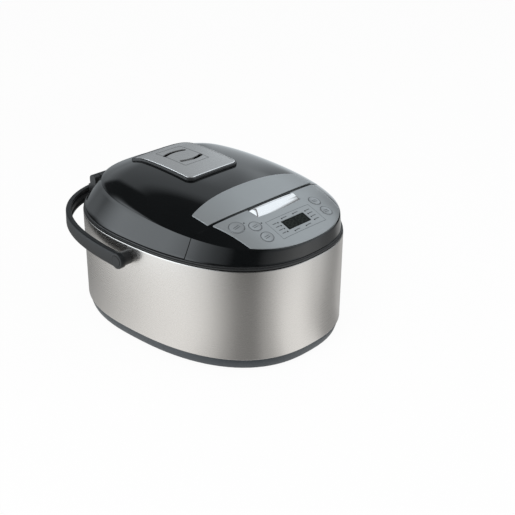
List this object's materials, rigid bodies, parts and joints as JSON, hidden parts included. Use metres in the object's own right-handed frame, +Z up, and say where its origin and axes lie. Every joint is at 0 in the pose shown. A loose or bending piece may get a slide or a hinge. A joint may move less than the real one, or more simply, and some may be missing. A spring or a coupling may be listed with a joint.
{
  "type": "electric multicooker",
  "caption": "Countertop electric multicooker with a brushed steel body, a hinged gloss black lid with a lift-out steam vent, a sloping control panel and a folding carry handle",
  "frame": {"origin": "middle of the part's outline on the surface it stands on", "axes": "+X to the right seen from the front, +Y to the rear, +Z up"},
  "size_m": [0.3122, 0.3826, 0.2083],
  "materials": {
    "steel": "brushed round the body, clear satin",
    "base_plastic": "dark slate, satin",
    "rubber": "matte",
    "fastener": "plain",
    "black_plastic": "satin",
    "gloss_black": "high gloss",
    "panel_metal": "satin grey",
    "key_metal": "satin grey",
    "vent_metal": "satin, warm grey",
    "display_glass": "smoked window",
    "lamp": "small light guides",
    "board": "circuit board",
    "board_parts": "components",
    "white_plastic": "ceramic",
    "grey_plastic": "satin",
    "silicone": "translucent grey",
    "aluminium": "plain",
    "pot_coating": "non-stick grey",
    "brass": "plain",
    "handle_plastic": "fine grain",
    "chrome": "bright"
  },
  "bodies": {
    "base": {"steel_shell": "steel", "base_cover": "base_plastic", "rubber_feet": "rubber", "base_screws": "fastener", "rim_collar": "black_plastic", "front_fascia": "gloss_black", "control_panel": "panel_metal", "display_window": "display_glass", "display_module": "black_plastic", "indicator_lamps": "lamp", "control_board": "board", "key_switches": "black_plastic", "power_board": "board", "power_board_parts": "board_parts", "inner_casing": "aluminium", "heating_plate": "aluminium", "heating_element": "aluminium", "heater_supports": "fastener", "thermal_fuse": "white_plastic", "sensor_spring": "fastener", "inner_pot": "pot_coating", "power_inlet": "black_plastic", "inlet_pins": "brass", "inlet_screws": "fastener", "handle_bosses": "black_plastic", "pivot_pins": "fastener", "hinge_bracket": "black_plastic", "hinge_screws": "fastener", "hinge_pin": "fastener", "lid_spring": "fastener", "latch_pin": "fastener", "latch_spring": "fastener"},
    "lid": {"lid_shell": "gloss_black", "lid_trim": "panel_metal", "lid_liner": "grey_plastic", "inner_lid": "aluminium", "inner_lid_gasket": "silicone", "inner_lid_knob": "black_plastic", "hinge_block": "black_plastic", "lid_screws": "fastener", "latch_catch": "fastener", "vent_well": "black_plastic", "vent_seal": "silicone"},
    "vent": {"vent_housing": "black_plastic", "vent_plate": "vent_metal", "vent_valve": "grey_plastic"},
    "handle": {"carry_handle": "handle_plastic", "handle_caps": "handle_plastic"},
    "button": {"release_button": "chrome"},
    "latch": {"latch_hook": "black_plastic"},
    "sensor": {"pot_sensor": "aluminium"},
    "key_large_cap": {"key_large": "key_metal"},
    "key_left_upper_cap": {"key_left_upper": "key_metal"},
    "key_left_lower_cap": {"key_left_lower": "key_metal"},
    "key_right_upper_cap": {"key_right_upper": "key_metal"},
    "key_right_lower_cap": {"key_right_lower": "key_metal"}
  },
  "joints": [
    {"name": "lid_hinge", "type": "hinge", "parent": "base", "child": "lid", "pos_m": [0, 0.16567, 0.1555], "axis": [-1, 0, 0], "range_deg": [0, 90]},
    {"name": "vent_lift", "type": "slide", "parent": "lid", "child": "vent", "axis": [0, 0, 1], "range_m": [0, 0.06]},
    {"name": "handle_swing", "type": "hinge", "parent": "base", "child": "handle", "pos_m": [0, -0.00133, 0.122], "axis": [1, 0, 0], "range_deg": [0, 87]},
    {"name": "release_press", "type": "slide", "parent": "base", "child": "button", "axis": [0, 0, -1], "range_m": [0, 0.003], "stiffness_N_per_m": 900, "springref_m": -0.0012},
    {"name": "latch_turn", "type": "hinge", "parent": "base", "child": "latch", "pos_m": [0, -0.11973, 0.16], "axis": [1, 0, 0], "range_deg": [0, 18]},
    {"name": "sensor_press", "type": "slide", "parent": "base", "child": "sensor", "axis": [0, 0, -1], "range_m": [0, 0.0015], "stiffness_N_per_m": 400, "springref_m": -0.001, "deforming": ["sensor_spring"]},
    {"name": "key_large_press", "type": "slide", "parent": "base", "child": "key_large_cap", "axis": [0.1824, 0.2621, -0.9476], "range_m": [0, 0.0008], "stiffness_N_per_m": 500, "springref_m": -0.0004},
    {"name": "key_left_upper_press", "type": "slide", "parent": "base", "child": "key_left_upper_cap", "axis": [0.0901, 0.3103, -0.9464], "range_m": [0, 0.0008], "stiffness_N_per_m": 500, "springref_m": -0.0004},
    {"name": "key_left_lower_press", "type": "slide", "parent": "base", "child": "key_left_lower_cap", "axis": [0.1001, 0.3797, -0.9197], "range_m": [0, 0.0008], "stiffness_N_per_m": 500, "springref_m": -0.0004},
    {"name": "key_right_upper_press", "type": "slide", "parent": "base", "child": "key_right_upper_cap", "axis": [-0.0901, 0.3103, -0.9464], "range_m": [0, 0.0008], "stiffness_N_per_m": 500, "springref_m": -0.0004},
    {"name": "key_right_lower_press", "type": "slide", "parent": "base", "child": "key_right_lower_cap", "axis": [-0.1001, 0.3797, -0.9197], "range_m": [0, 0.0008], "stiffness_N_per_m": 500, "springref_m": -0.0004}
  ],
  "couplings": [
    {"joint": "latch_turn", "follows": "release_press", "rad_per_m": 96.575}
  ]
}
